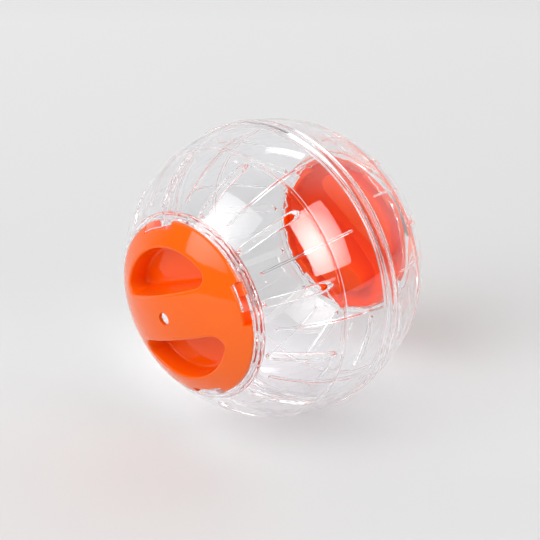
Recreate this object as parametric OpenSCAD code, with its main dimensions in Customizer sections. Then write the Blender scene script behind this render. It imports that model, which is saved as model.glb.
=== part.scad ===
// Hamster ball: two clear half shells joined at the equator, each with a round opening
// on the rolling axis that a twist lid with two finger recesses closes.
// The ball lies with its rolling axis along Y and its centre at the origin.

/* [Ball] */
// Outer radius of the ball, which the lids continue
ball_r = 60; // [54:1:80]
// Thickness of the clear wall
shell_wall = 1.4; // [1.2:0.1:2]
// How much thinner the wall is near the equator than towards the opening
wall_step = 0.25; // [0.15:0.05:0.5]
// Distance from the middle of the ball to that step in the wall
step_y = 21.8; // [16:0.2:22]

/* [Equator joint] */
// Width of the raised band round the equator
band_w = 6.4; // [5.6:0.2:10]
// Height of the band above the ball
band_rise = 0.4; // [0.2:0.1:1]
// How far the band reaches inside the wall
band_inset = 1; // [0.6:0.1:2]
// Distance of the outer seam from the middle of the band
seam_shift = 1; // [0.4:0.1:1.6]
// Thickness of the outer lip over the spigot
lip_wall = 1.4; // [1:0.1:1.6]
// Length of the spigot past the seam
spigot_len = 2.8; // [1.5:0.1:3.2]
// Clearance of the spigot in its socket, to the side and at its end
spigot_gap = 0.1; // [0.06:0.02:0.2]

/* [Air slots] */
// Number of slots in each half
slot_count = 12; // [6:1:12]
// Width of a slot
slot_w = 3; // [2:0.25:4]
// Distance from the collar of the opening to the near end of a slot
slot_gap = 2.2; // [1.8:0.1:5]
// Distance from the rolling axis to the far end of a slot
slot_out_r = 53.6; // [46:0.2:54]
// Angle from the grip bar to the nearest slot
slot_angle = -2.5; // [-7:0.5:7]

/* [Inner ribs] */
// Width of a rib
rib_w = 0.9; // [0.8:0.1:2]
// Height of a rib above the inside of the wall
rib_h = 0.9; // [0.6:0.1:1.5]
// Distance from the collar of the opening to the near end of a rib
rib_gap = 4.1; // [3.6:0.1:7]
// Distance from the rolling axis to the far end of a rib
rib_out_r = 57.1; // [46:0.1:57.2]

/* [Opening] */
// Clearance of the lid in the opening, to the side
lid_gap = 0.4; // [0.3:0.05:0.6]
// Clearance of the lid on its ledge and under its lock tabs
seat_gap = 0.3; // [0.2:0.05:0.4]
// Thickness of the collar round the opening
collar_wall = 1.5; // [1.2:0.1:1.6]
// How far the ledge reaches in under the skirt of the lid
ledge_reach = 1.3; // [0.8:0.1:1.5]
// Thickness of the ledge
ledge_t = 1.2; // [1:0.1:2]
// Arc of a lock tab of the shell
tab_arc = 17.6; // [14:0.2:20]
// Thickness of a lock tab
tab_t = 1; // [0.9:0.1:1.3]
// How far a lock tab lies below the outside of the ball
tab_drop = 0.2; // [0.1:0.05:0.3]

/* [Lid] */
// Outer radius of a lid at its rim
lid_r = 34.5; // [34:0.25:35]
// Thickness of the domed face and of the recesses
lid_wall = 1.5; // [1.2:0.1:2]
// Height of the skirt behind the rim
skirt_h = 4; // [3.4:0.1:5]
// Thickness of the skirt
skirt_wall = 1.5; // [1.2:0.1:2]
// Number of lock notches, and of lock tabs
notch_count = 4; // [2:1:4]
// How far a notch reaches in from the rim
notch_depth = 2.6; // [2.4:0.1:3.2]
// Angle that a lock tab is free to turn by in its notch, each way
play_angle = 0.5; // [0.4:0.1:1]
// Angle that a lid turns by from locked to free
lock_angle = 9; // [7:0.5:10]
// Radius of the hole on the rolling axis
hole_r = 2.5; // [1.5:0.1:4]

/* [Finger recesses] */
// Radius of the round side of a recess at its mouth
recess_r = 25.6; // [24:0.1:27]
// Radius of the two corners of a recess at its mouth
corner_r = 3.6; // [3.2:0.1:6]
// Half the width of the grip bar, level with the mouth
bar_half_w = 9.4; // [8.4:0.1:12]
// Distance from the middle of the ball to the floor of a recess
recess_floor_y = 46; // [42:0.5:48]
// Slope of the recess walls
recess_draft = 5; // [2:0.5:6]

/* [How the ball lies] */
// Angle of the front lid's grip bar from level
front_turn = 22.5; // [0:0.5:180]
// Angle of the rear lid's grip bar from level, seen from behind
rear_turn = 34.5; // [0:0.5:180]

/* [Hidden] */
$fn = 120;

// Overrun of a cut past the face that it goes through
over = 1;
// How far joined features of one moulding run into each other
bite = 0.4;
// How far a rounded corner stands past the two walls that it joins
corner_lap = 0.05;

// The wall
inner_r = ball_r - shell_wall;
thin_inner_r = inner_r + wall_step;

// The equator joint
band_r = ball_r + band_rise;
band_in_r = inner_r - band_inset;
socket_r = band_r - lip_wall;
spigot_r = socket_r - spigot_gap;

// The opening
port_r = lid_r + lid_gap;
collar_r = port_r + collar_wall;
ledge_r = lid_r - ledge_reach;
rim_y = sqrt(ball_r * ball_r - lid_r * lid_r);
skirt_y = rim_y - skirt_h;
ledge_y = skirt_y - seat_gap;

// The slots and ribs start outside the collar
slot_in_r = collar_r + slot_gap;
rib_in_r = collar_r + rib_gap;

// The lock: notches in the lid, tabs on the shell
notch_arc = tab_arc + lock_angle + 2 * play_angle;
notch_r = lid_r - notch_depth;
tab_r = notch_r + lid_gap;
shelf_r = ball_r - tab_drop - tab_t - seat_gap;

// The recesses: corners are round about the points (corner_u, corner_v) and their mirror images
corner_v = bar_half_w + corner_r;
corner_path_r = recess_r - corner_r;
corner_u = sqrt(corner_path_r * corner_path_r - corner_v * corner_v);
mouth_y = sqrt(ball_r * ball_r - recess_r * recess_r);

// Each half is drawn with its opening up, along Z, and then laid with the opening to its side
module to_front() {
  rotate([90, 0, 0])
    children();
}

module to_rear() {
  rotate([0, 0, 180])
    to_front()
      children();
}

module around(count, first) {
  for (i = [0 : count - 1])
    rotate([0, 0, first + i * 360 / count])
      children();
}

// A piece of a disc between two radii, over an arc that starts at the X axis
module sector(r_in, r_out, z_low, z_high, arc) {
  rotate_extrude(angle = arc)
    translate([r_in, z_low])
      square([r_out - r_in, z_high - z_low]);
}

// Half of the wall with its collar and ledge, as an outline to turn about the axis
module wall_outline() {
  difference() {
    intersection() {
      circle(r = ball_r);
      translate([port_r, band_w / 2 - bite])
        square(ball_r);
    }
    circle(r = inner_r);
    intersection() {
      circle(r = thin_inner_r);
      square([ball_r, step_y]);
    }
  }
  intersection() {
    circle(r = ball_r);
    translate([port_r, ledge_y])
      square([collar_wall, ball_r]);
  }
  translate([ledge_r, ledge_y - ledge_t])
    square([collar_r - ledge_r, ledge_t]);
}

// The outer lip of the front half, which covers the spigot of the rear half
module lip_outline() {
  difference() {
    translate([band_in_r, -seam_shift])
      square([band_r - band_in_r, seam_shift + band_w / 2]);
    translate([band_in_r - over, -seam_shift - over])
      square([socket_r - band_in_r + over, over + spigot_len + spigot_gap]);
  }
}

// The inner spigot of the rear half, and the rim that its lip meets
module spigot_outline() {
  translate([band_in_r, seam_shift + spigot_gap])
    square([band_r - band_in_r, band_w / 2 - seam_shift - spigot_gap]);
  translate([band_in_r, seam_shift - spigot_len])
    square([spigot_r - band_in_r, spigot_len + spigot_gap]);
}

module air_slots(turn) {
  end_r = slot_w / 2;
  around(slot_count, turn + slot_angle) {
    translate([slot_in_r + end_r, 0, band_w])
      cylinder(r = end_r, h = ball_r);
    translate([slot_out_r - end_r, 0, band_w])
      cylinder(r = end_r, h = ball_r);
    translate([slot_in_r + end_r, -end_r, band_w])
      cube([slot_out_r - slot_in_r - slot_w, slot_w, ball_r]);
  }
}

// Thin ribs between the slots give the pet's feet a hold
module inner_ribs(turn) {
  intersection() {
    difference() {
      sphere(r = thin_inner_r + bite);
      sphere(r = inner_r - rib_h);
    }
    around(slot_count, turn + slot_angle + 180 / slot_count)
      translate([rib_in_r, -rib_w / 2, band_w / 2])
        cube([rib_out_r - rib_in_r, rib_w, ball_r]);
  }
}

module lock_tabs(turn) {
  around(notch_count, turn + (lock_angle - tab_arc) / 2)
    rotate_extrude(angle = tab_arc)
      difference() {
        intersection() {
          circle(r = ball_r - tab_drop);
          translate([tab_r, 0])
            square([port_r + bite - tab_r, ball_r]);
        }
        circle(r = ball_r - tab_drop - tab_t);
      }
}

module half_shell(turn) {
  difference() {
    union() {
      rotate_extrude() {
        wall_outline();
        children();
      }
      inner_ribs(turn);
    }
    air_slots(turn);
  }
  lock_tabs(turn);
}

// Round body of a lid, hollow behind the domed face and inside the skirt
module lid_cup() {
  difference() {
    translate([0, 0, skirt_y])
      cylinder(r = lid_r, h = ball_r);
    intersection() {
      sphere(r = ball_r - lid_wall);
      translate([0, 0, skirt_y - over])
        cylinder(r = lid_r - skirt_wall, h = ball_r);
    }
  }
}

// Solid behind each notch, which the notch is then cut from
module notch_blocks() {
  wrap = atan(lid_wall / notch_r);
  around(notch_count, -notch_arc / 2 - wrap)
    sector(notch_r - lid_wall, lid_r - skirt_wall / 2, skirt_y, ball_r, notch_arc + 2 * wrap);
}

// A notch is cut down to its shelf all along, and right through where a tab goes in
module notches() {
  around(notch_count, -notch_arc / 2) {
    rotate_extrude(angle = notch_arc)
      difference() {
        translate([notch_r, skirt_y])
          square([lid_r + over - notch_r, ball_r]);
        circle(r = shelf_r);
      }
    sector(notch_r, lid_r + over, skirt_y - over, ball_r + over, notch_arc - lock_angle);
  }
}

// A D-shaped form with sloping walls, between two heights and grown on all sides
module recess_form(low, high, grow) {
  low_r = corner_r + grow + (low - mouth_y) * tan(recess_draft);
  high_r = corner_r + grow + (high - mouth_y) * tan(recess_draft);
  side = lid_r * corner_v / corner_u;
  translate([0, 0, low]) {
    intersection() {
      cylinder(r1 = corner_path_r + low_r, r2 = corner_path_r + high_r, h = high - low);
      linear_extrude(high - low)
        polygon([
          [-corner_u, corner_v], [corner_u, corner_v], [lid_r, side],
          [lid_r, ball_r], [-lid_r, ball_r], [-lid_r, side]
        ]);
    }
    translate([-corner_u, corner_v, 0])
      rotate([90, 0, 90])
        linear_extrude(2 * corner_u)
          polygon([[0, 0], [0, high - low], [-high_r, high - low], [-low_r, 0]]);
    for (side_u = [-corner_u, corner_u])
      translate([side_u, corner_v, 0])
        cylinder(r1 = low_r + corner_lap, r2 = high_r + corner_lap, h = high - low);
  }
}

module both_recesses(low, high, grow) {
  around(2, 0)
    recess_form(low, high, grow);
}

module lid() {
  difference() {
    intersection() {
      union() {
        lid_cup();
        notch_blocks();
        both_recesses(recess_floor_y - lid_wall, ball_r, lid_wall);
      }
      sphere(r = ball_r);
    }
    notches();
    both_recesses(recess_floor_y, ball_r + over, 0);
    translate([0, 0, recess_floor_y])
      cylinder(r = hole_r, h = ball_r);
  }
}

module front_shell() {
  color("AliceBlue", 0.35)
    to_front()
      half_shell(front_turn)
        lip_outline();
}

module rear_shell() {
  color("AliceBlue", 0.35)
    to_rear()
      half_shell(rear_turn)
        spigot_outline();
}

module front_lid() {
  color("OrangeRed")
    to_front()
      rotate([0, 0, front_turn])
        lid();
}

module rear_lid() {
  color("OrangeRed")
    to_rear()
      rotate([0, 0, rear_turn])
        lid();
}

front_shell();
rear_shell();
front_lid();
rear_lid();
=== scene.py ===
"""Hamster ball: two clear halves and two orange twist lids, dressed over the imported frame."""
from collections import namedtuple
from math import atan2, cos, degrees, hypot, pi, radians, sin, sqrt, tan

import bmesh
import bpy
from mathutils import Matrix, Vector, noise


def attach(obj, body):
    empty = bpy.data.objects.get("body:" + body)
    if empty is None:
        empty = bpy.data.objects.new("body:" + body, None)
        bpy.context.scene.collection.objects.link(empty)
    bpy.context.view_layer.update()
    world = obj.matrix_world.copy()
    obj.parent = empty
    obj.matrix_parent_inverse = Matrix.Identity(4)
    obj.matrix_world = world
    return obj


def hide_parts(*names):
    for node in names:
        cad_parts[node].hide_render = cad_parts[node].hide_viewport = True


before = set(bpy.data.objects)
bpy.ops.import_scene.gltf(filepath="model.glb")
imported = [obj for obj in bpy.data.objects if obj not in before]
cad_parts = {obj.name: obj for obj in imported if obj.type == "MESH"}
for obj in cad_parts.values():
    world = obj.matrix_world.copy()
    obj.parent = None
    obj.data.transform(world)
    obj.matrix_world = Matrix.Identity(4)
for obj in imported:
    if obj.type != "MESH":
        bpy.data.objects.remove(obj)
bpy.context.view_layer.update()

# Lengths are in millimetres and angles in degrees, in the frame of one half: opening up +Z.
# Rho is the distance from the rolling axis.
MM = 0.001
BALL_R = 60.0
INNER_R = 58.6
THIN_INNER_R = 58.85  # from the step to the equator the wall is a little thinner
STEP_Z = 21.8
PORT_R = 34.9
LID_R = 34.5
FRONT_TURN = 22.5
REAR_TURN = 34.5
SLOT_ANGLE = -2.5
TO_FRONT = Matrix(((1, 0, 0, 0), (0, 0, -1, 0), (0, 1, 0, 0), (0, 0, 0, 1)))
TO_REAR = Matrix(((-1, 0, 0, 0), (0, 0, 1, 0), (0, 1, 0, 0), (0, 0, 0, 1)))
WELD = 0.002
CRISP_ANGLE = 20

# Where the photo was taken from, fitted to the ball's outline and the front lid
CAMERA_AZIMUTH = 42.1
CAMERA_ELEVATION = 25.5
CAMERA_DISTANCE = 445
FOCAL_PIXELS = 1099
PHOTO_PIXELS = 540
SENSOR_W = 36.0


def on_sphere(rho, radius):
    """Height of a sphere at a distance from its axis, or the distance at a height."""
    return sqrt(radius * radius - rho * rho)


def heading(azimuth, elevation):
    """A direction from the ball; azimuth 0 faces the front lid and grows to the right."""
    a, e = radians(azimuth), radians(elevation)
    return Vector((sin(a) * cos(e), -cos(a) * cos(e), sin(e)))


# Materials

# The colour sockets of the Mix node, whose names are the same as those of its other kinds
MIX_A, MIX_B, MIX_RESULT = 6, 7, 2


def linear(hex_colour, alpha=1.0):
    """An sRGB hex colour as the linear numbers that the shaders use."""
    rgb = [int(hex_colour[i:i + 2], 16) / 255 for i in (1, 3, 5)]
    return [c / 12.92 if c <= 0.04045 else ((c + 0.055) / 1.055) ** 2.4 for c in rgb] + [alpha]


def add(tree, kind, links=None, **settings):
    """Add one node; settings are its own properties or, where it has none, its sockets."""
    node = tree.nodes.new(kind)
    for name, value in settings.items():
        if hasattr(node, name):
            setattr(node, name, value)
        else:
            node.inputs[name.replace("_", " ")].default_value = value
    for socket, source in (links or {}).items():
        tree.links.new(source, node.inputs[socket])
    return node


def new_material(name):
    material = bpy.data.materials.new(name)
    material.use_nodes = True
    material.node_tree.nodes.clear()
    return material, material.node_tree


def clear_polystyrene():
    """General-purpose polystyrene, injection moulded in a polished tool: water clear, very
    glossy, with a faint flow ripple that bends what is seen through it."""
    material, tree = new_material("clear moulded polystyrene")
    place = add(tree, "ShaderNodeTexCoord").outputs["Object"]
    # Flow ripple, about 14 mm from wave to wave
    ripple = add(tree, "ShaderNodeTexNoise", {"Vector": place}, Scale=1 / (14 * MM),
                 Detail=1.0)
    bump = add(tree, "ShaderNodeBump", {"Height": ripple.outputs["Fac"]}, Strength=0.12,
               Distance=0.4 * MM)
    # Handling haze, in patches of about 5 mm
    haze = add(tree, "ShaderNodeTexNoise", {"Vector": place}, Scale=1 / (5 * MM), Detail=3.0)
    rough = add(tree, "ShaderNodeMapRange", {"Value": haze.outputs["Fac"]}, To_Min=0.0,
                To_Max=0.03)
    plastic = add(tree, "ShaderNodeBsdfPrincipled",
                  {"Roughness": rough.outputs["Result"], "Normal": bump.outputs["Normal"]},
                  Base_Color=linear("#FCFCFD"), Transmission_Weight=1.0, IOR=1.59)
    # Light from the lamps goes straight through, so that the inside and the floor are lit
    light = add(tree, "ShaderNodeBsdfTransparent", Color=linear("#FAFAFB"))
    path = add(tree, "ShaderNodeLightPath")
    mix = add(tree, "ShaderNodeMixShader", {0: path.outputs["Is Shadow Ray"],
                                            1: plastic.outputs["BSDF"],
                                            2: light.outputs["BSDF"]})
    add(tree, "ShaderNodeOutputMaterial", {"Surface": mix.outputs["Shader"]})
    return material


def orange_polystyrene():
    """Opaque coloured polystyrene, injection moulded: saturated orange under a wet gloss."""
    material, tree = new_material("orange moulded polystyrene")
    place = add(tree, "ShaderNodeTexCoord").outputs["Object"]
    # Pigment flow, in clouds of about 20 mm
    flow = add(tree, "ShaderNodeTexNoise", {"Vector": place}, Scale=1 / (20 * MM), Detail=2.0)
    colour = add(tree, "ShaderNodeMix", {0: flow.outputs["Fac"]}, data_type="RGBA")
    colour.inputs[MIX_A].default_value = linear("#FF6608")
    colour.inputs[MIX_B].default_value = linear("#FF6C0C")
    # Painted shade: the ejector side and, more with their depth, the recesses are painted a
    # deeper orange than the polished dome, for the shade that falls there
    ejector_side_and_shade = add(tree, "ShaderNodeAttribute", attribute_name="ejector_side_and_painted_shade")
    colour_with_painted_shade = add(tree, "ShaderNodeMix",
               {0: ejector_side_and_shade.outputs["Fac"], MIX_A: colour.outputs[MIX_RESULT]}, data_type="RGBA")
    colour_with_painted_shade.inputs[MIX_B].default_value = linear("#FF4C02")
    # Orange peel of the moulded face and the wear of its gloss, about 6 mm from wave to wave
    peel = add(tree, "ShaderNodeTexNoise", {"Vector": place}, Scale=1 / (6 * MM), Detail=2.0)
    bump = add(tree, "ShaderNodeBump", {"Height": peel.outputs["Fac"]}, Strength=0.15,
               Distance=0.4 * MM)
    wear = add(tree, "ShaderNodeTexNoise", {"Vector": place}, Scale=1 / (6 * MM), Detail=4.0)
    rough = add(tree, "ShaderNodeMapRange", {"Value": wear.outputs["Fac"]}, To_Min=0.04,
                To_Max=0.1)
    # The tool is not polished on the ejector side, so the gloss is weaker there too
    gloss = add(tree, "ShaderNodeMapRange", {"Value": ejector_side_and_shade.outputs["Fac"]}, To_Min=0.5,
                To_Max=0.12)
    plastic = add(tree, "ShaderNodeBsdfPrincipled",
                  {"Base Color": colour_with_painted_shade.outputs[MIX_RESULT], "Roughness": rough.outputs["Result"],
                   "Specular IOR Level": gloss.outputs["Result"],
                   "Normal": bump.outputs["Normal"]}, IOR=1.46)
    add(tree, "ShaderNodeOutputMaterial", {"Surface": plastic.outputs["BSDF"]})
    return material


def studio_paper():
    """Uncoated white paper sweep under the ball: quite matt, with a fine tooth."""
    material, tree = new_material("matt white paper")
    place = add(tree, "ShaderNodeTexCoord").outputs["Object"]
    # Paper tooth, drawn coarse at 3 mm so that it shows at all
    grain = add(tree, "ShaderNodeTexNoise", {"Vector": place}, Scale=1 / (3 * MM), Detail=3.0)
    bump = add(tree, "ShaderNodeBump", {"Height": grain.outputs["Fac"]}, Strength=0.03,
               Distance=0.2 * MM)
    # Painted light: the sweep is painted paler towards the back, from 0.12 m to 0.7 m behind the
    # ball, as if lit more brightly there
    depth = add(tree, "ShaderNodeVectorMath", {0: place}, operation="DOT_PRODUCT")
    depth.inputs[1].default_value = -heading(CAMERA_AZIMUTH, 0)
    share = add(tree, "ShaderNodeMapRange", {"Value": depth.outputs["Value"]}, From_Min=0.12,
                From_Max=0.7)
    colour = add(tree, "ShaderNodeMix", {0: share.outputs["Result"]}, data_type="RGBA")
    colour.inputs[MIX_A].default_value = linear("#E5E5E5")
    colour.inputs[MIX_B].default_value = linear("#F9F9F9")
    paper = add(tree, "ShaderNodeBsdfPrincipled",
                {"Base Color": colour.outputs[MIX_RESULT], "Normal": bump.outputs["Normal"]},
                Roughness=0.9, Specular_IOR_Level=0.1)
    add(tree, "ShaderNodeOutputMaterial", {"Surface": paper.outputs["BSDF"]})
    return material


# Mesh helpers

def verts_of(geom):
    return [g for g in geom if isinstance(g, bmesh.types.BMVert)]


def faces_of(geom):
    return [g for g in geom if isinstance(g, bmesh.types.BMFace)]


def rim_of(faces):
    """The edges round a patch of faces."""
    patch = set(faces)
    return [e for f in faces for e in f.edges
            if len([g for g in e.link_faces if g in patch]) == 1]


def angle_of(co):
    return degrees(atan2(co.y, co.x))


def turn_on_axis(bm, verts, angle):
    bmesh.ops.rotate(bm, cent=(0, 0, 0), matrix=Matrix.Rotation(radians(angle), 3, "Z"),
                     verts=verts)


def round_off(bm, geom, offset, segments, affect="EDGES"):
    bmesh.ops.bevel(bm, geom=geom, offset=offset, offset_type="OFFSET", segments=segments,
                    profile=0.5, affect=affect, clamp_overlap=True, material=-1)


def join_seams(bm):
    bmesh.ops.remove_doubles(bm, verts=bm.verts, dist=WELD)
    bmesh.ops.recalc_face_normals(bm, faces=bm.faces)


def finish_piece(bm, name, material, body, node, turn, to_world):
    """Turn a half's mesh into the ball's frame, in metres, and hang it on its body."""
    join_seams(bm)
    place = Matrix.Scale(MM, 4) @ to_world @ Matrix.Rotation(radians(turn), 4, "Z")
    bmesh.ops.transform(bm, matrix=place, verts=bm.verts)
    for face in bm.faces:
        face.smooth = True
    for edge in bm.edges:
        edge.smooth = edge.calc_face_angle(0.0) < radians(CRISP_ANGLE)
    mesh = bpy.data.meshes.new(name)
    bm.to_mesh(mesh)
    bm.free()
    mesh.materials.append(material)
    piece = bpy.data.objects.new(name, mesh)
    bpy.context.scene.collection.objects.link(piece)
    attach(piece, body)
    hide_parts(node)


# The clear halves: collar, ledge and lock tabs round the opening

COLLAR_R = 36.4
COLLAR_ROUND = 0.8
PORT_ROUND = 0.25
LEDGE_R = 33.2
LEDGE_TOP_Z = 44.79
LEDGE_LOW_Z = 43.59
LEDGE_ROUND = 0.5
LEDGE_FILLET = 0.1
TAB_TOP_Z = 48.5
TAB_LOW_Z = 47.32
TAB_TOP_R = 59.8
TAB_LOW_R = 58.8
TAB_ROWS = (34.2, 33.2, 32.3)
TAB_FROM, TAB_TO = -2, 16
TAB_PITCH = 90
TAB_WRAP = 38
TAB_ROUND = 0.2

# The equator joint: a band on each half, one with a socket's lip and one with the spigot
BAND_R = 60.4
BAND_IN_R = 57.6
FOOT_Z = 3.2
FOOT_R = 59.91
SOCKET_R = 59.0
SOCKET_FLOOR_Z = 1.9
LIP_END_Z = -1.0
SPIGOT_R = 58.9
SPIGOT_END_Z = -1.8
SHOULDER_Z = 1.1

# Corners of each rim from the inside to the outside, as rho, z and rounding
LIP_RIM = [(BAND_IN_R, FOOT_Z, 0.3), (BAND_IN_R, SOCKET_FLOOR_Z, 0.2),
           (SOCKET_R, SOCKET_FLOOR_Z, 0.1), (SOCKET_R, LIP_END_Z, 0.2),
           (BAND_R, LIP_END_Z, 0.35), (BAND_R, FOOT_Z, 0.4), (FOOT_R, FOOT_Z, 0)]
SPIGOT_RIM = [(BAND_IN_R, FOOT_Z, 0.3), (BAND_IN_R, SPIGOT_END_Z, 0.3),
              (SPIGOT_R, SPIGOT_END_Z, 0.3), (SPIGOT_R, SHOULDER_Z, 0.1),
              (BAND_R, SHOULDER_Z, 0.35), (BAND_R, FOOT_Z, 0.4), (FOOT_R, FOOT_Z, 0)]

# Rhos at which the wall has a ring of vertices; those from 53.6 to 38.6 suit the slots
OUTER_ROWS = [59.7, 59.3, 58.7, 57.9, 57.0, 54.7, 53.6, 52.9, 52.1, 51.0, 49.7, 48.2, 46.6,
              44.9, 43.2, 41.6, 40.1, 39.3, 38.6, 37.3, 36.0]
SLOT_ROWS = OUTER_ROWS[6:19]
INNER_ROWS = OUTER_ROWS[-2:5:-1]
THIN_ROWS = (55.8, 57.0, 57.7, 58.2, 58.6, 58.76)

# The fine raised line at the step, as heights from it and rises, after the row at 57.0
LINE_AFTER = 57.0
MOULD_LINE = [(-0.45, 0.0), (-0.3, 0.06), (-0.1, 0.12), (0.1, 0.12), (0.3, 0.06), (0.45, 0.0)]

# One sector holds one slot, along X, and the rib after it
SECTOR = 30.0
SECTOR_START = -7.5
CELL = 0.5
CORNER_STEPS = 3
SLOT_HALF_W = 1.5
SLOT_CELLS = 4
BLEND_CELLS = 4
SLOT_END_STEP = 15
SLOT_ROUND = 0.18
SLOT_ENDS = (40.1, 52.1)
RIB_ENDS = (40.1, 57.0)
RIB_HALF_W = 0.45
RIB_TOP_R = 57.7
RIB_ROUND = 0.36
NEAR_WALL = 0.04
NEAR_ROW = 0.1
# The middle of a flat face lies a little inside the sphere
TO_SPHERE = 1.0002

# The ledge's wander: where it starts, how far it goes, and its long and short waves
WANDER_R = 34.3
WANDER_Z = 44.9
WANDER_IN = 0.3
LONG_WAVE = 1.5
SHORT_WAVE = 0.9
SHORT_LIFT = 0.25


def wall_profile(rim):
    """Closed outline of the wall, collar, ledge and equator rim, as corners with their
    rounding."""
    outline = []
    for rho in OUTER_ROWS:
        outline.append((rho, on_sphere(rho, BALL_R), 0))
        if rho == LINE_AFTER:
            outline += [(on_sphere(STEP_Z + up, BALL_R + rise), STEP_Z + up, 0)
                        for up, rise in MOULD_LINE]
    outline += [(PORT_R, on_sphere(PORT_R, BALL_R), PORT_ROUND),
                (PORT_R, TAB_TOP_Z, 0), (PORT_R, TAB_LOW_Z, 0),
                (PORT_R, LEDGE_TOP_Z, LEDGE_FILLET),
                (LEDGE_R, LEDGE_TOP_Z, LEDGE_ROUND), (LEDGE_R, LEDGE_LOW_Z, LEDGE_ROUND),
                (COLLAR_R, LEDGE_LOW_Z, COLLAR_ROUND),
                (COLLAR_R, on_sphere(COLLAR_R, INNER_R), COLLAR_ROUND)]
    outline += [(rho, on_sphere(rho, INNER_R), 0) for rho in INNER_ROWS]
    outline += [(on_sphere(STEP_Z, INNER_R), STEP_Z, 0),
                (on_sphere(STEP_Z, THIN_INNER_R), STEP_Z, 0)]
    outline += [(rho, on_sphere(rho, THIN_INNER_R), 0) for rho in THIN_ROWS]
    return outline + rim


def spin_sector(rim):
    """Round the outline's corners and spin it through one sector."""
    bm = bmesh.new()
    corners = {}
    points = []
    for rho, z, rounding in wall_profile(rim):
        vert = bm.verts.new((rho, 0, z))
        points.append(vert)
        if rounding:
            corners.setdefault(rounding, []).append(vert)
    for vert, after in zip(points, points[1:] + points[:1]):
        bm.edges.new((vert, after))
    for rounding, verts in corners.items():
        round_off(bm, verts, rounding, CORNER_STEPS, "VERTICES")
    turn_on_axis(bm, bm.verts, SECTOR_START)
    bmesh.ops.spin(bm, geom=bm.verts[:] + bm.edges[:], cent=(0, 0, 0), axis=(0, 0, 1),
                   angle=radians(SECTOR), steps=round(SECTOR / CELL), use_merge=False,
                   use_duplicate=False)
    bmesh.ops.recalc_face_normals(bm, faces=bm.faces)
    return bm


def wall_side(co):
    """1 on the outside of the wall, -1 on the inside, 0 on the rims and edges between."""
    if abs(co.length - BALL_R) < NEAR_WALL:
        return 1
    inside = INNER_R if co.z > STEP_Z - 0.01 else THIN_INNER_R
    return -1 if abs(co.length - inside) < NEAR_WALL else 0


def slot_edge(row, column):
    """Where a ring vertex on the edge of a slot belongs, along and across the slot."""
    side = -1 if column < 0 else 1
    from_end = min(row, len(SLOT_ROWS) - 1 - row)
    if from_end > 1:
        return SLOT_ROWS[row], side * SLOT_HALF_W
    steps = 1 if from_end == 1 else 2 + SLOT_CELLS - abs(column)
    turn = radians(SLOT_END_STEP * steps)
    centre, out = (SLOT_ENDS[1], 1) if row <= 1 else (SLOT_ENDS[0], -1)
    return centre + out * SLOT_HALF_W * sin(turn), side * SLOT_HALF_W * cos(turn)


def cut_slot(bm):
    """Open an air slot along X, with rounded ends and a small radius on every edge."""
    def in_slot(face):
        co = face.calc_center_median()
        return (SLOT_ROWS[-1] < hypot(co.x, co.y) < SLOT_ROWS[0] and wall_side(co * TO_SPHERE)
                and abs(angle_of(co)) < SLOT_CELLS * CELL)

    bmesh.ops.delete(bm, geom=[f for f in bm.faces if in_slot(f)], context="FACES")
    rim = set()
    for vert in bm.verts:
        rho = hypot(vert.co.x, vert.co.y)
        column = round(angle_of(vert.co) / CELL)
        reach = abs(column) - SLOT_CELLS
        if (not wall_side(vert.co) or reach >= BLEND_CELLS
                or not SLOT_ROWS[-1] - NEAR_ROW < rho < SLOT_ROWS[0] + NEAR_ROW):
            continue
        row = min(range(len(SLOT_ROWS)), key=lambda i: abs(SLOT_ROWS[i] - rho))
        edge_column = max(-SLOT_CELLS, min(SLOT_CELLS, column))
        along, across = slot_edge(row, edge_column)
        turn = radians(edge_column * CELL)
        share = 1 - max(0, reach) / BLEND_CELLS
        radius = vert.co.length
        vert.co.x += share * (along - rho * cos(turn))
        vert.co.y += share * (across - rho * sin(turn))
        vert.co.z = on_sphere(hypot(vert.co.x, vert.co.y), radius)
        if reach <= 0:
            rim.add(vert)
    edges = [e for e in bm.edges if e.is_boundary and rim.issuperset(e.verts)]
    bmesh.ops.bridge_loops(bm, edges=edges)
    round_off(bm, edges, SLOT_ROUND, 3)


def draw_out(bm, faces):
    """Extrude faces of a closed wall, and take away the ones that they leave inside it."""
    grown = bmesh.ops.extrude_face_region(bm, geom=faces, use_keep_orig=True)["geom"]
    bmesh.ops.delete(bm, geom=faces, context="FACES")
    return grown


def raise_rib(bm):
    """Stand a thin rib on the inside of the wall, half way to the next slot."""
    turn_on_axis(bm, bm.verts, -SECTOR / 2)
    faces = []
    for face in bm.faces:
        co = face.calc_center_median()
        if (RIB_ENDS[0] < hypot(co.x, co.y) < RIB_ENDS[1] and abs(angle_of(co)) < CELL
                and INNER_R - 0.2 < co.length < THIN_INNER_R + 0.05 and co.z > 0):
            faces.append(face)
    for vert in {v for f in faces for v in f.verts}:
        if abs(angle_of(vert.co)) > CELL / 2:
            rho = hypot(vert.co.x, vert.co.y)
            vert.co.y = RIB_HALF_W if vert.co.y > 0 else -RIB_HALF_W
            vert.co.x = on_sphere(RIB_HALF_W, rho)
    grown = draw_out(bm, faces)
    for vert in verts_of(grown):
        vert.co.z = on_sphere(hypot(vert.co.x, vert.co.y), RIB_TOP_R)
    round_off(bm, rim_of(faces_of(grown)), RIB_ROUND, 3)
    turn_on_axis(bm, bm.verts, SECTOR / 2)


def repeat_sector(bm):
    """Copy the finished sector round the axis and join the seams."""
    first = bm.verts[:] + bm.edges[:] + bm.faces[:]
    for i in range(1, round(360 / SECTOR)):
        copy = bmesh.ops.duplicate(bm, geom=first)["geom"]
        turn_on_axis(bm, verts_of(copy), SECTOR * i)
    join_seams(bm)


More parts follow.
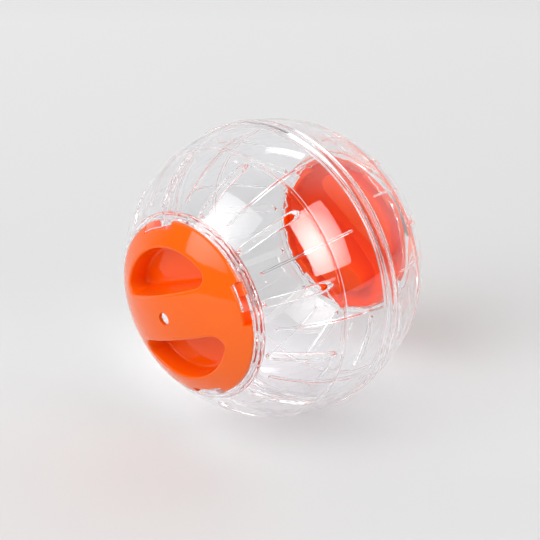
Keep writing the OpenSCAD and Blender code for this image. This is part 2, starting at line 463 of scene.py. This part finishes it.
def grow_lock_tabs(bm):
    """Draw the four lock tabs inwards from the opening, over the shelves of the lid."""
    faces = []
    for face in bm.faces:
        co = face.calc_center_median()
        near = (angle_of(co) + TAB_WRAP) % TAB_PITCH - TAB_WRAP
        if (abs(hypot(co.x, co.y) - PORT_R) < 0.05 and TAB_LOW_Z < co.z < TAB_TOP_Z
                and TAB_FROM < near < TAB_TO):
            faces.append(face)
    for rho in TAB_ROWS:
        faces = faces_of(draw_out(bm, faces))
        verts = {v for f in faces for v in f.verts}
        middle = sum(v.co.z for v in verts) / len(verts)
        for vert in verts:
            now = hypot(vert.co.x, vert.co.y)
            vert.co.z = on_sphere(rho, TAB_TOP_R if vert.co.z > middle else TAB_LOW_R)
            vert.co.x *= rho / now
            vert.co.y *= rho / now
    round_off(bm, rim_of(faces), TAB_ROUND, 2)


def wave_ledge(bm):
    """The ledge under the lid froze unevenly: its inner edge wanders by up to about a
    millimetre, in long waves 8 mm and short ones 3 mm apart, which breaks up what is seen
    through it."""
    for vert in bm.verts:
        rho = hypot(vert.co.x, vert.co.y)
        if rho < WANDER_R and vert.co.z < WANDER_Z:
            turn = atan2(vert.co.y, vert.co.x)
            share = min(1.0, WANDER_R - rho)
            wave = noise.noise(Vector((cos(turn), sin(turn), 0.3)) * 4.2)
            fine = noise.noise(Vector((cos(turn), sin(turn), 5.1)) * 11.0)
            grow = 1 - share * (WANDER_IN + LONG_WAVE * wave + SHORT_WAVE * fine) / rho
            vert.co.x *= grow
            vert.co.y *= grow
            vert.co.z += share * SHORT_LIFT * fine


def clear_half(name, rim, turn, to_world, material, body, node):
    bm = spin_sector(rim)
    cut_slot(bm)
    raise_rib(bm)
    repeat_sector(bm)
    grow_lock_tabs(bm)
    wave_ledge(bm)
    finish_piece(bm, name, material, body, node, turn + SLOT_ANGLE, to_world)


# The lids. Half a lid is made, with one recess, and copied round the axis. U runs along the
# grip bar and V across it. A recess is a constant distance from its core line: an arc of
# CORNER_PATH_R and the chord at CORNER_V between its corners.

CORNER_R = 3.6
CORNER_U = 17.748
CORNER_V = 13.0
CORNER_PATH_R = 22.0
RECESS_FLOOR = 46.0
FLOOR_RING = 2.0
FLOOR_ROUND = 1.4
MOUTH_Z = 54.2645
MOUTH_ROUND = 1.3
DRAFT = tan(radians(5))
LID_WALL = 1.5
SKIN_R = BALL_R - LID_WALL
UNDER_ROUND = 0.6
NECK = 0.3
HOLE_R = 2.5
HOLE_ROUND = 0.2
HOLE_STEP = 15
NOTCH_R = 31.9
NOTCH_HALF = 13.8
NOTCH_ROUND = 0.3
NOTCH_PITCH = 90
ENTRY_END = 4.8
WRAP = 2.7
EDGE_ROUND = 0.6
EDGE_LOW_Z = 48.0
SKIRT_Z = 45.09
SKIRT_ROUND = 0.25
STEP_GAP = 0.15
DOME_RINGS = 10
END_SPOKES = 16
BAR_SPOKES = 14

# How much painted shade a recess gets at most, and how fast it grows with its depth
RECESS_PAINTED_SHADE = 0.25
PAINTED_SHADE_DEPTH = 28
PAINTED_SHADE_FROM = 0.5

Spoke = namedtuple("Spoke", "kind core outer_end inner_end way radial path")


def spread(start, end, count):
    return [start + (end - start) * i / count for i in range(count + 1)]


def curve(a, corner, b, count):
    """Points of a rounding from a to b that leans on the corner between, without a itself."""
    points = []
    for i in range(1, count + 1):
        t = i / count
        points.append(tuple((1 - t) ** 2 * p + 2 * t * (1 - t) * q + t * t * r
                            for p, q, r in zip(a, corner, b)))
    return points


def flat_way(angle):
    return Vector((cos(radians(angle)), sin(radians(angle))))


def rim_angles():
    """Angles of the spokes that reach the rim, in pairs 0.3 degrees apart at every step."""
    stops = [(0, 4), (ENTRY_END, 7), (NOTCH_HALF, 2), (NOTCH_HALF + WRAP, 40),
             (90 - NOTCH_HALF - WRAP, 2), (90 - NOTCH_HALF, 14), (90 + ENTRY_END, 7),
             (90 + NOTCH_HALF, 2), (90 + NOTCH_HALF + WRAP, 40),
             (180 - NOTCH_HALF - WRAP, 2), (180 - NOTCH_HALF, 10), (180, 0)]
    angles = []
    for (start, count), (end, _) in zip(stops, stops[1:]):
        low = start + (STEP_GAP if start else 0)
        high = end - (STEP_GAP if end < 180 else 0)
        angles += spread(low, high, count)
    return angles


def rim_path(angle):
    """Where the lid's edge runs below the dome at one angle, as (rho, z) down the outside and
    up the inside, all with the same number of points."""
    near = (angle + NOTCH_PITCH / 2) % NOTCH_PITCH - NOTCH_PITCH / 2
    notch = abs(near) < NOTCH_HALF
    shelf = notch and near > ENTRY_END
    top_r, edge = (NOTCH_R, NOTCH_ROUND) if notch else (LID_R, EDGE_ROUND)
    top = (top_r, on_sphere(top_r, BALL_R))
    start = (top_r - edge, on_sphere(top_r - edge, BALL_R))
    path = [start] + curve(start, top, (top_r, top[1] - edge), 4)
    low = LID_R if shelf or not notch else NOTCH_R
    path += [(top_r, on_sphere(NOTCH_R, SKIN_R) if notch else EDGE_LOW_Z),
             (low, on_sphere(LID_R, SKIN_R)), (low, SKIRT_Z + SKIRT_ROUND),
             (low - SKIRT_ROUND, SKIRT_Z)]
    inner = (NOTCH_R if abs(near) < NOTCH_HALF + WRAP else LID_R) - LID_WALL
    path += [(inner + SKIRT_ROUND, SKIRT_Z), (inner, SKIRT_Z + SKIRT_ROUND),
             (inner, on_sphere(inner, SKIN_R))]
    return path


def lid_spokes():
    """The spokes of half a lid, in order round it. Each leaves the recess's core line and
    ends at the rim, at the lid's middle line or at the axle hole."""
    spokes = []
    corner = Vector((CORNER_U, CORNER_V))
    left = Vector((-CORNER_U, CORNER_V))
    corner_angle = degrees(atan2(CORNER_V, CORNER_U))

    def add_spoke(kind, core, outer_end, inner_end, radial=None, path=None):
        on_chord = abs(core.x) < CORNER_U - 0.001 and abs(core.y - CORNER_V) < 0.001
        way = Vector((0, -1)) if on_chord else (outer_end - core).normalized()
        spokes.append(Spoke(kind, core, outer_end, inner_end, way, radial, path))

    def add_bar_spokes(ends):
        for u in ends:
            add_spoke("line", Vector((u, CORNER_V)), Vector((u, 0)), Vector((u, 0)))

    for angle in rim_angles():
        path = rim_path(angle)
        radial = flat_way(angle)
        if corner_angle <= angle <= 180 - corner_angle:
            core = radial * CORNER_PATH_R
        else:
            core = corner if angle < 90 else left
        add_spoke("rim", core, radial * path[0][0], radial * path[-1][0], radial, path)
    outer = NOTCH_R - NOTCH_ROUND
    inner = NOTCH_R - LID_WALL
    for i in range(1, END_SPOKES):
        t = i / END_SPOKES
        add_spoke("line", left, Vector((-outer + (outer - CORNER_U) * t, 0)),
                  Vector((-inner + (inner - CORNER_U) * t, 0)))
    add_bar_spokes(spread(-CORNER_U, -HOLE_R, BAR_SPOKES)[:-1])
    hole_steps = 180 // HOLE_STEP
    for i in range(hole_steps + 1):
        radial = flat_way(180 - HOLE_STEP * i)
        u = -HOLE_R + 2 * HOLE_R * i / hole_steps
        add_spoke("hole", Vector((u, CORNER_V)), radial * (HOLE_R + HOLE_ROUND),
                  radial * HOLE_R, radial)
    add_bar_spokes(spread(HOLE_R, CORNER_U, BAR_SPOKES)[1:])
    for i in range(END_SPOKES - 1, 0, -1):
        t = i / END_SPOKES
        add_spoke("line", corner, Vector((outer - (outer - CORNER_U) * t, 0)),
                  Vector((inner - (inner - CORNER_U) * t, 0)))
    return spokes


def recess_reach(core, way, radius, grow=0.0):
    """How far from the core line a recess's wall meets a sphere, and how high that is."""
    reach = CORNER_R + grow
    for _ in range(4):
        z = on_sphere((core + way * reach).length, radius)
        reach = CORNER_R + grow + (z - MOUTH_Z) * DRAFT
    return reach, z


def path_points(spoke, side, begin, end, radius):
    """A spoke's points: down a recess's side, given as (reach, z), then over a sphere."""
    points = [(spoke.core + spoke.way * r).to_3d() + Vector((0, 0, z)) for r, z in side]
    for i in range(1, DOME_RINGS + 1):
        p = begin.lerp(end, i / DOME_RINGS)
        points.append(Vector((p.x, p.y, on_sphere(p.length, radius))))
    return points


def outer_path(spoke):
    """Points of one spoke from the recess's floor out over the dome."""
    low = CORNER_R + (RECESS_FLOOR - MOUTH_Z) * DRAFT
    reach, top = recess_reach(spoke.core, spoke.way, BALL_R)
    wall_low = (low + FLOOR_ROUND * DRAFT, RECESS_FLOOR + FLOOR_ROUND)
    wall_top = (reach - MOUTH_ROUND * DRAFT, top - MOUTH_ROUND)
    side = [(low - FLOOR_RING, RECESS_FLOOR), (low - FLOOR_ROUND, RECESS_FLOOR)]
    side += curve(side[-1], (low, RECESS_FLOOR), wall_low, 6)
    for t in (0.35, 0.7):
        side.append(tuple(a + (b - a) * t for a, b in zip(wall_low, wall_top)))
    side.append(wall_top)
    begin = spoke.core + spoke.way * (reach + MOUTH_ROUND)
    side += curve(wall_top, (reach, top),
                  (reach + MOUTH_ROUND, on_sphere(begin.length, BALL_R)), 7)
    return path_points(spoke, side, begin, spoke.outer_end, BALL_R)


def inner_path(spoke):
    """Points of one spoke from the underside of the recess out over the inner skin."""
    floor = RECESS_FLOOR - LID_WALL
    low = CORNER_R + LID_WALL + (floor - MOUTH_Z) * DRAFT
    reach, top = recess_reach(spoke.core, spoke.way, SKIN_R, LID_WALL)
    side = [(low - UNDER_ROUND, floor)]
    side += curve(side[0], (low, floor), (low + UNDER_ROUND * DRAFT, floor + UNDER_ROUND), 3)
    begin = spoke.core + spoke.way * (reach + NECK)
    side += [(reach - NECK * DRAFT, top - NECK),
             (reach + NECK, on_sphere(begin.length, SKIN_R))]
    return path_points(spoke, side, begin, spoke.inner_end, SKIN_R)


def edge_path(spoke):
    """Points of one spoke from the dome's edge to the inner skin, where it has such an end."""
    if spoke.kind == "rim":
        return [Vector((spoke.radial.x * r, spoke.radial.y * r, z)) for r, z in spoke.path]
    if spoke.kind == "hole":
        top = on_sphere(HOLE_R, BALL_R)
        low = on_sphere(HOLE_R, SKIN_R)
        start = (HOLE_R + HOLE_ROUND, top)
        side = [start] + curve(start, (HOLE_R, top), (HOLE_R, top - HOLE_ROUND), 3)
        side += [(HOLE_R, top + (low - top) * t) for t in (0.4, 0.7, 1.0)]
        return [Vector((spoke.radial.x * r, spoke.radial.y * r, z)) for r, z in side]
    return None


def next_ring(bm, edges, column, paths, ring):
    """Extrude open edges by one ring, each vertex to the next point of its own spoke."""
    grown = bmesh.ops.extrude_edge_only(bm, edges=edges)["geom"]
    verts = set(verts_of(grown))
    for vert in verts:
        vert.co = paths[vert[column]][ring]
    return [g for g in grown if isinstance(g, bmesh.types.BMEdge) and verts.issuperset(g.verts)]


def grow_sheet(bm, column, paths):
    """Fill the first ring and grow the sheet outwards, one ring of edges after another."""
    made = bmesh.ops.create_circle(bm, cap_ends=True, radius=1.0, segments=len(paths))["verts"]
    for i, vert in enumerate(made):
        vert[column] = i
        vert.co = paths[i][0]
    edges = list({e for v in made for e in v.link_edges})
    for ring in range(1, len(paths[0])):
        edges = next_ring(bm, edges, column, paths, ring)
    return edges


def mark_ejector_side_and_painted_shade(bm, outside_count):
    """Mark the painted shade for the colour: full on the vertices under the lid or on its skirt,
    and in part, growing with depth, on those down in the recesses."""
    mark = bm.verts.layers.float.new("ejector_side_and_painted_shade")
    for i, vert in enumerate(bm.verts):
        depth = SKIN_R + PAINTED_SHADE_FROM - vert.co.length
        skirt = depth > PAINTED_SHADE_FROM and hypot(vert.co.x, vert.co.y) > NOTCH_R - LID_WALL
        # Painted shade: the deeper down a recess, the more of the deeper orange
        painted_shade = min(RECESS_PAINTED_SHADE, max(0.0, depth / PAINTED_SHADE_DEPTH))
        vert[mark] = 1.0 if i >= outside_count or skirt else painted_shade


def orange_lid(name, turn, to_world, material, body, node):
    spokes = lid_spokes()
    bm = bmesh.new()
    column = bm.verts.layers.int.new("column")
    edges = grow_sheet(bm, column, [outer_path(s) for s in spokes])
    edge_paths = [edge_path(s) for s in spokes]
    for kind in ("rim", "hole"):
        strip = [e for e in edges if all(spokes[v[column]].kind == kind for v in e.verts)]
        length = len(next(p for p, s in zip(edge_paths, spokes) if s.kind == kind))
        for ring in range(1, length):
            strip = next_ring(bm, strip, column, edge_paths, ring)
    outside_count = len(bm.verts)
    grow_sheet(bm, column, [inner_path(s) for s in spokes])
    mark_ejector_side_and_painted_shade(bm, outside_count)
    half = bm.verts[:] + bm.edges[:] + bm.faces[:]
    turn_on_axis(bm, verts_of(bmesh.ops.duplicate(bm, geom=half)["geom"]), 180)
    finish_piece(bm, name, material, body, node, turn, to_world)


# The studio: floor, lamps, world and camera

FLOOR_Z = -60.45
FLOOR_HALF_M = 4.0
LAMP_DISTANCE_M = 3.0
# A lamp for the gloss or the matt alone hangs just in front of those for both
LAMP_GAP_M = 0.01


def lay_floor():
    bm = bmesh.new()
    bmesh.ops.create_grid(bm, x_segments=4, y_segments=4, size=FLOOR_HALF_M)
    bmesh.ops.translate(bm, verts=bm.verts, vec=(0, 0, FLOOR_Z * MM))
    mesh = bpy.data.meshes.new("paper_floor")
    bm.to_mesh(mesh)
    bm.free()
    mesh.materials.append(studio_paper())
    floor = bpy.data.objects.new("paper_floor", mesh)
    bpy.context.scene.collection.objects.link(floor)


def hang_softbox(name, azimuth, elevation, width, height, radiance, lights="all"):
    """A softbox, its size given for 1 m off, brightest left of its middle. One that lights
    the gloss alone is seen in reflections only, one for the matt in none."""
    distance = LAMP_DISTANCE_M if lights == "all" else LAMP_DISTANCE_M - LAMP_GAP_M
    way = heading(azimuth, elevation)
    lamp = bpy.data.lights.new(name, "AREA")
    lamp.shape = "RECTANGLE"
    lamp.size = width * distance
    lamp.size_y = height * distance
    lamp.energy = radiance * pi * lamp.size * lamp.size_y
    lamp.use_nodes = True
    tree = lamp.node_tree
    spot = add(tree, "ShaderNodeNewGeometry").outputs["Parametric"]
    reach = add(tree, "ShaderNodeVectorMath", {0: spot}, operation="DISTANCE")
    reach.inputs[1].default_value = (0.3, 0.45, 0)
    fade = add(tree, "ShaderNodeMapRange", {"Value": reach.outputs["Value"]}, From_Min=0.1,
               From_Max=0.7, To_Min=1.6, To_Max=0.45)
    tree.links.new(fade.outputs["Result"], tree.nodes["Emission"].inputs["Strength"])
    box = bpy.data.objects.new(name, lamp)
    box.location = way * distance
    box.rotation_euler = way.to_track_quat("Z", "Y").to_euler()
    box.visible_diffuse = lights != "gloss"
    box.visible_glossy = lights != "matt"
    box.visible_transmission = lights != "matt"
    bpy.context.scene.collection.objects.link(box)


def light_world():
    """A dim studio in front and a pale sweep behind the ball."""
    world = bpy.data.worlds.new("pale studio")
    bpy.context.scene.world = world
    world.use_nodes = True
    tree = world.node_tree
    tree.nodes.clear()
    way = add(tree, "ShaderNodeTexCoord").outputs["Generated"]
    behind = add(tree, "ShaderNodeVectorMath", {0: way}, operation="DOT_PRODUCT")
    behind.inputs[1].default_value = -heading(CAMERA_AZIMUTH, -15)
    share = add(tree, "ShaderNodeMapRange", {"Value": behind.outputs["Value"]},
                interpolation_type="SMOOTHSTEP", From_Min=0.05, From_Max=0.55)
    studio = add(tree, "ShaderNodeBackground", Color=linear("#FFFFFF"), Strength=0.14)
    sweep = add(tree, "ShaderNodeBackground", Color=linear("#FFFFFF"), Strength=0.8)
    mix = add(tree, "ShaderNodeMixShader", {0: share.outputs["Result"],
                                            1: studio.outputs["Background"],
                                            2: sweep.outputs["Background"]})
    add(tree, "ShaderNodeOutputWorld", {"Surface": mix.outputs["Shader"]})


def set_camera():
    lens = bpy.data.cameras.new("photo_camera")
    lens.sensor_width = SENSOR_W
    lens.lens = FOCAL_PIXELS * SENSOR_W / PHOTO_PIXELS
    lens.shift_x = -0.005
    lens.shift_y = -0.005
    lens.clip_start = 0.01
    lens.clip_end = 50.0
    camera = bpy.data.objects.new("photo_camera", lens)
    way = heading(CAMERA_AZIMUTH, CAMERA_ELEVATION)
    camera.location = way * CAMERA_DISTANCE * MM
    camera.rotation_euler = way.to_track_quat("Z", "Y").to_euler()
    bpy.context.scene.collection.objects.link(camera)
    bpy.context.scene.camera = camera


# The ball, piece by piece
clear = clear_polystyrene()
orange = orange_polystyrene()
clear_half("front_clear_half", LIP_RIM, FRONT_TURN, TO_FRONT, clear, "front_half", "front_shell")
clear_half("rear_clear_half", SPIGOT_RIM, REAR_TURN, TO_REAR, clear, "rear_half", "rear_shell")
orange_lid("front_orange_lid", FRONT_TURN, TO_FRONT, orange, "front_door", "front_lid")
orange_lid("rear_orange_lid", REAR_TURN, TO_REAR, orange, "rear_door", "rear_lid")

lay_floor()
hang_softbox("left_softbox", azimuth=-12, elevation=42, width=0.76, height=0.92, radiance=2.75)
hang_softbox("right_softbox", azimuth=90, elevation=39, width=0.58, height=0.86, radiance=2.65)
hang_softbox("right_softbox_in_the_gloss", azimuth=90, elevation=39, width=0.58, height=0.86,
             radiance=3.0, lights="gloss")
hang_softbox("window_behind", azimuth=-149, elevation=58, width=0.34, height=0.12,
             radiance=3.0, lights="gloss")
hang_softbox("front_fill", azimuth=20, elevation=-2, width=1.2, height=0.8, radiance=0.75,
             lights="matt")
light_world()
set_camera()

scene = bpy.context.scene
scene.view_settings.view_transform = "Standard"
# Light is led far along inside the clear walls; with fewer bounces the slots turn black
CLEAR_BOUNCES = 120
scene.cycles.max_bounces = CLEAR_BOUNCES
scene.cycles.transmission_bounces = CLEAR_BOUNCES
scene.cycles.glossy_bounces = CLEAR_BOUNCES
scene.cycles.transparent_max_bounces = 24
